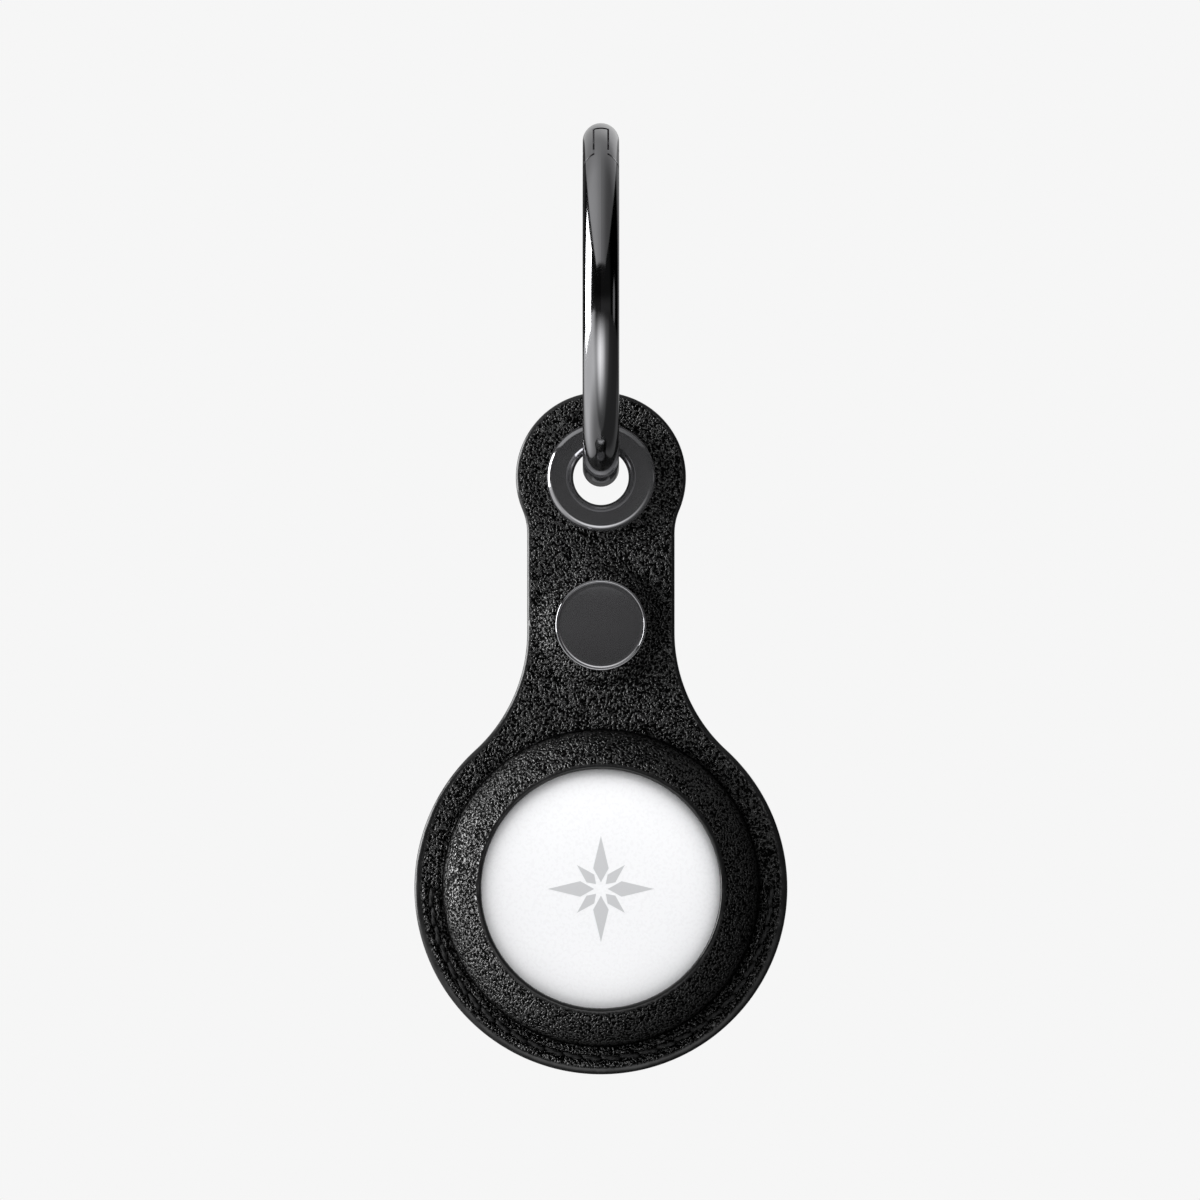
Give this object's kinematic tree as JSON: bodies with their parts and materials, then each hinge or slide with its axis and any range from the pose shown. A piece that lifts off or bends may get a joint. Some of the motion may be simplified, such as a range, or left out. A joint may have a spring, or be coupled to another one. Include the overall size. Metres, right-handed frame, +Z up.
{
  "type": "tag_holder",
  "caption": "Black leather holder for a round tracker tag, with a windowed pouch, a snapped strap, an eyelet and a gated wire ring to clip it to a bag or keys",
  "frame": {"origin": "centre of the wire ring, on the ring's axis", "axes": "+Z up, along the holder's length towards the ring; -Y the front, with the window and the snap's cap; X across, along the ring's axis"},
  "size_m": [0.041, 0.04, 0.1046],
  "materials": {
    "black_nickel": "polished black nickel plate",
    "black_leather": "fine pebbled grain",
    "lining": "brushed microfibre",
    "thread": "waxed polyester thread",
    "steel": "satin",
    "cover_steel": "polished",
    "white_shell": "smooth gloss",
    "seal": "matte",
    "brass": "plated",
    "inner_plastic": "moulded",
    "board": "solder mask",
    "chip": "moulded",
    "copper": "enamelled wire"
  },
  "bodies": {
    "ring": {"ring_body": "black_nickel"},
    "gate": {"ring_gate": "black_nickel", "gate_hinge_pin": "black_nickel", "gate_spring": "steel"},
    "plunger": {"gate_plunger": "steel"},
    "eyelet": {"eyelet": "black_nickel", "eyelet_washer": "black_nickel"},
    "holder": {"front_panel": "black_leather", "front_lining": "lining", "back_panel": "black_leather", "back_lining": "lining", "needle_thread": "thread", "bobbin_thread": "thread", "snap_stud": "steel", "snap_post": "black_nickel"},
    "snap_front": {"snap_cap": "black_nickel", "snap_socket": "steel", "snap_spring": "steel"},
    "tag": {"tag_shell": "white_shell", "cover_seal": "seal", "tag_battery": "steel", "battery_contacts": "brass", "tag_carrier": "inner_plastic", "tag_board": "board", "tag_chips": "chip", "speaker_magnet": "steel", "speaker_coil": "copper"},
    "tag_cover": {"tag_cover": "cover_steel"}
  },
  "joints": [
    {"name": "gate_swing", "type": "hinge", "parent": "ring", "child": "gate", "pos_m": [0, -0.00761, 0.01631], "axis": [-1, 0, 0], "range_deg": [0, 22], "stiffness_Nm_per_rad": 0.002},
    {"name": "plunger_slide", "type": "slide", "parent": "gate", "child": "plunger", "axis": [0, 0.9063, 0.4226], "range_m": [0, 0.00038], "deforming": ["gate_spring"]},
    {"name": "eyelet_travel", "type": "hinge", "parent": "ring", "child": "eyelet", "pos_m": [0, 0, 0], "axis": [1, 0, 0], "range_deg": [-60, 60]},
    {"name": "side_swing", "type": "hinge", "parent": "eyelet", "child": "holder", "pos_m": [0, 0, -0.01895], "axis": [0, -1, 0], "range_deg": [-135, 135]},
    {"name": "snap_open", "type": "slide", "parent": "holder", "child": "snap_front", "axis": [0, -1, 0], "range_m": [0, 0.004], "stiffness_N_per_m": 20, "deforming": ["front_panel", "front_lining"]},
    {"name": "tag_spin", "type": "hinge", "parent": "holder", "child": "tag", "pos_m": [0, 0, -0.0641], "axis": [0, -1, 0], "continuous": true},
    {"name": "cover_twist", "type": "hinge", "parent": "tag", "child": "tag_cover", "pos_m": [0, 0, -0.0641], "axis": [0, -1, 0], "range_deg": [0, 25]}
  ],
  "couplings": [
    {"joint": "plunger_slide", "follows": "gate_swing", "m_per_rad": 0.000976}
  ]
}
